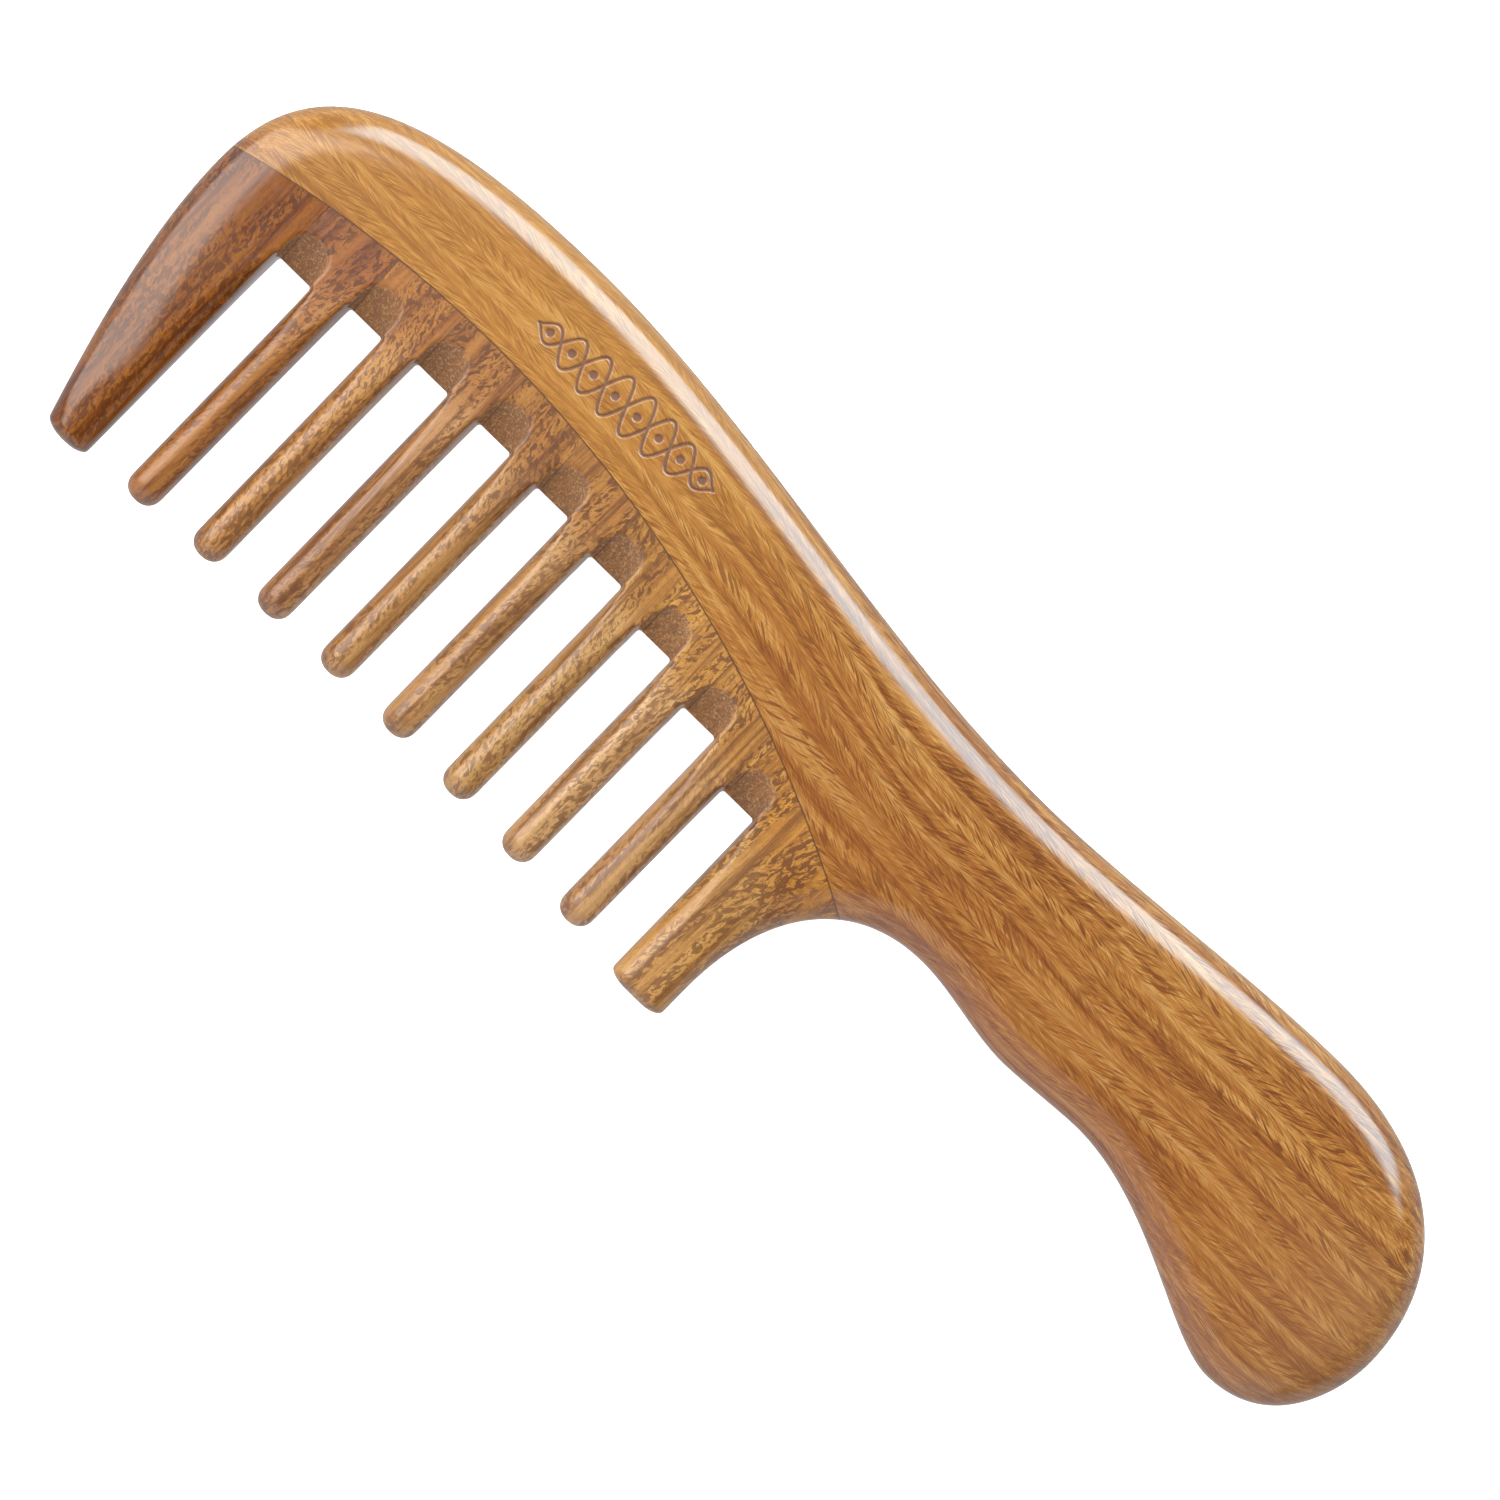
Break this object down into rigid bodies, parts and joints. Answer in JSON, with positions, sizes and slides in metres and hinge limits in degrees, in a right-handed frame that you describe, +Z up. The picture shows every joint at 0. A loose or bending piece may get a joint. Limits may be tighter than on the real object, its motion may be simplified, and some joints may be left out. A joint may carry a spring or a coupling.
{
  "type": "wide tooth comb",
  "caption": "Wooden wide tooth comb with a curved spine, a contoured one-piece handle and separate cross-grain teeth set along an arched joint, a broad guard tooth at each end.",
  "frame": {"origin": "middle of the comb's box in X and Y, on the lower face that it rests on", "axes": "+X along the comb towards the end of the handle, +Y across it towards the spine's back edge, +Z up through the thickness"},
  "size_m": [0.2, 0.0598, 0.011],
  "materials": {
    "spine_wood": "oiled and polished hardwood, grain lengthwise, satin",
    "tooth_wood_red": "oiled and polished hardwood, grain across the comb, redder and darker, satin",
    "tooth_wood_brown": "oiled and polished hardwood, grain across the comb, mottled brown, satin",
    "tooth_wood_gold": "oiled and polished hardwood, grain across the comb, golden brown, satin"
  },
  "bodies": {
    "root": {"spine_and_handle": "spine_wood", "front_guard_tooth": "tooth_wood_red", "tooth_1": "tooth_wood_red", "tooth_2": "tooth_wood_red", "tooth_3": "tooth_wood_brown", "tooth_4": "tooth_wood_brown", "tooth_5": "tooth_wood_brown", "tooth_6": "tooth_wood_gold", "tooth_7": "tooth_wood_gold", "tooth_8": "tooth_wood_gold", "rear_guard_tooth": "tooth_wood_gold"}
  },
  "joints": []
}
